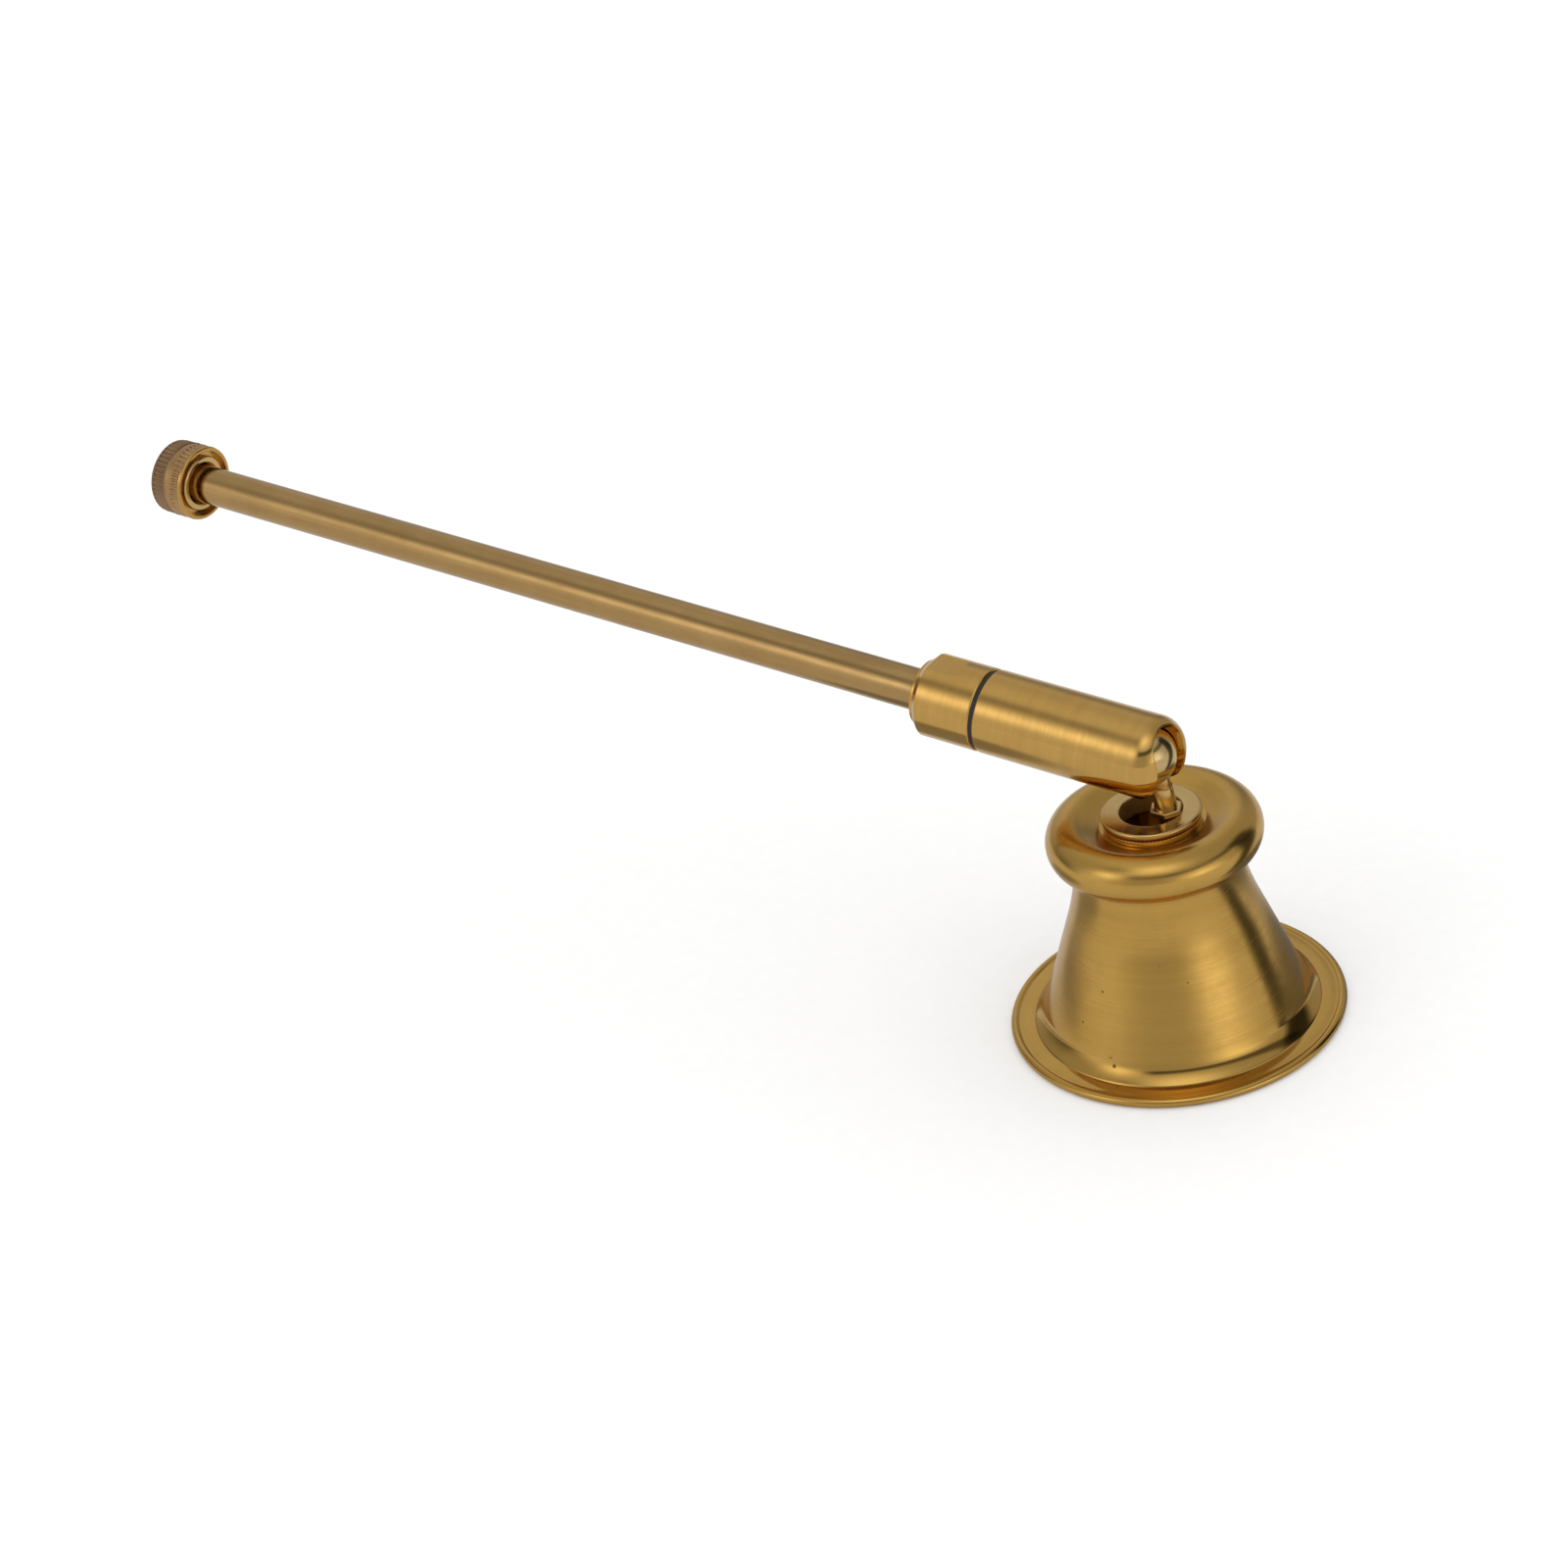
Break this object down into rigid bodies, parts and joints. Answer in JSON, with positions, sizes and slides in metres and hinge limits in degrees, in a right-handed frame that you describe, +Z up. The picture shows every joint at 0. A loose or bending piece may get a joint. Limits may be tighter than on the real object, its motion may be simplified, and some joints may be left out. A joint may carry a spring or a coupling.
{
  "type": "swivel candle snuffer",
  "caption": "Turned brass candle snuffer: flared bell on a spring-loaded ball joint, hollow handle and knurled end knob.",
  "frame": {"origin": "centre of the bell's rim, on the plane that the rim stands on", "axes": "+Z up along the bell's axis, -X the side that the handle points to, +Y to the left of the handle's run"},
  "size_m": [0.1664, 0.04, 0.06],
  "materials": {
    "bell_brass": "satin, turned with fine rings",
    "handle_brass": "satin, brushed along its length",
    "barrel_brass": "satin, turned with fine rings",
    "knob_brass": "matte, straight knurl",
    "polished_brass": "polished",
    "toned_brass": "dark, heat toned",
    "spring_steel": "bright wire",
    "plain_steel": "zinc plated",
    "dark_fibre": "black, matte"
  },
  "bodies": {
    "bell_assembly": {"bell": "bell_brass", "crown_bushing": "polished_brass", "tooth_washer": "toned_brass", "seat_washer": "bell_brass", "inner_washer": "polished_brass", "cap_nut": "polished_brass"},
    "stem_assembly": {"stem": "polished_brass", "foot_disc": "plain_steel", "tail_nut": "polished_brass", "swivel_ball": "polished_brass"},
    "handle": {"barrel": "barrel_brass", "ball_follower": "plain_steel", "follower_spring": "spring_steel", "seam_ring": "dark_fibre", "sleeve": "barrel_brass", "rod_stud": "plain_steel", "handle_rod": "handle_brass", "knob_stud": "plain_steel", "knob_collar": "polished_brass", "end_knob": "knob_brass"}
  },
  "joints": [
    {"name": "stem_spin", "type": "hinge", "parent": "bell_assembly", "child": "stem_assembly", "pos_m": [0.00205, 0, 0.0281], "axis": [0, 0, 1], "continuous": true},
    {"name": "handle_tilt", "type": "hinge", "parent": "stem_assembly", "child": "handle", "pos_m": [0.00022, 0, 0.03535], "axis": [0, 1, 0], "range_deg": [-16, 100]}
  ]
}
